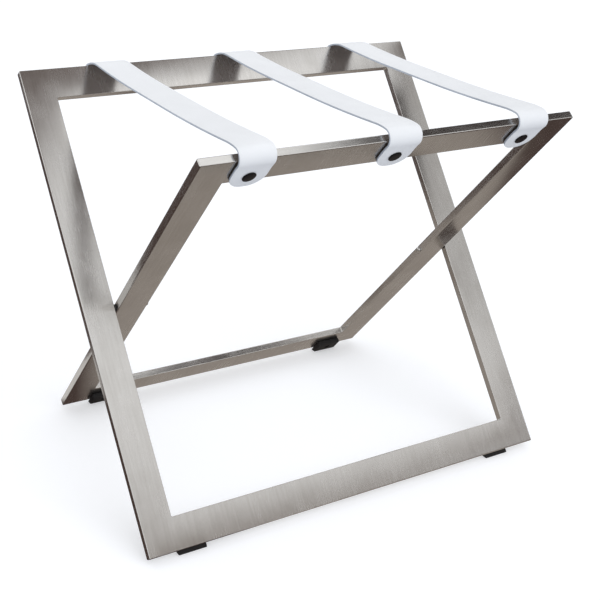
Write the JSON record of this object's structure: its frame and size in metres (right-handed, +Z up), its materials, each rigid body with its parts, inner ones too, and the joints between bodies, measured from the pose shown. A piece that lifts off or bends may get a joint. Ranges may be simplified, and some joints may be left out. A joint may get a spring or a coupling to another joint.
{
  "type": "folding luggage rack",
  "caption": "Folding luggage rack: two mitred frames of flat brushed steel tube cross on a pivot, with white leather straps over the top rails and black rubber feet.",
  "frame": {"origin": "on the floor, under the pivot axis, midway between the legs", "axes": "+X along the rails, to the right as seen from the front; +Y to the rear; +Z up"},
  "size_m": [0.59, 0.4098, 0.4967],
  "materials": {
    "frame_steel": "brushed along the legs on the wide faces",
    "strap_leather": "smooth white, matt, bluish cut edges",
    "foot_rubber": "matt black",
    "black_screw": "black, satin",
    "black_nylon": "black",
    "bright_steel": "bright, plain"
  },
  "bodies": {
    "outer_frame": {"outer_left_leg": "frame_steel", "outer_right_leg": "frame_steel", "outer_top_rail": "frame_steel", "outer_bottom_rail": "frame_steel", "outer_left_foot": "foot_rubber", "outer_left_foot_screw": "black_screw", "outer_right_foot": "foot_rubber", "outer_right_foot_screw": "black_screw", "outer_left_pivot_insert": "bright_steel", "left_pivot_bolt": "bright_steel", "left_pivot_spacer": "black_nylon", "outer_right_pivot_insert": "bright_steel", "right_pivot_bolt": "bright_steel", "right_pivot_spacer": "black_nylon", "rear_left_insert": "bright_steel", "rear_left_strap_screw": "black_screw", "rear_middle_insert": "bright_steel", "rear_middle_strap_screw": "black_screw", "rear_right_insert": "bright_steel", "rear_right_strap_screw": "black_screw", "left_strap": "strap_leather", "middle_strap": "strap_leather", "right_strap": "strap_leather"},
    "inner_frame": {"inner_left_leg": "frame_steel", "inner_right_leg": "frame_steel", "inner_top_rail": "frame_steel", "inner_bottom_rail": "frame_steel", "inner_left_foot": "foot_rubber", "inner_left_foot_screw": "black_screw", "inner_right_foot": "foot_rubber", "inner_right_foot_screw": "black_screw", "left_pivot_bush": "black_nylon", "right_pivot_bush": "black_nylon", "front_left_insert": "bright_steel", "front_left_strap_screw": "black_screw", "front_middle_insert": "bright_steel", "front_middle_strap_screw": "black_screw", "front_right_insert": "bright_steel", "front_right_strap_screw": "black_screw"}
  },
  "joints": [
    {"name": "fold", "type": "hinge", "parent": "outer_frame", "child": "inner_frame", "pos_m": [0, 0, 0.23959], "axis": [-1, 0, 0], "range_deg": [0, 70], "deforming": ["left_strap", "middle_strap", "right_strap"]}
  ]
}
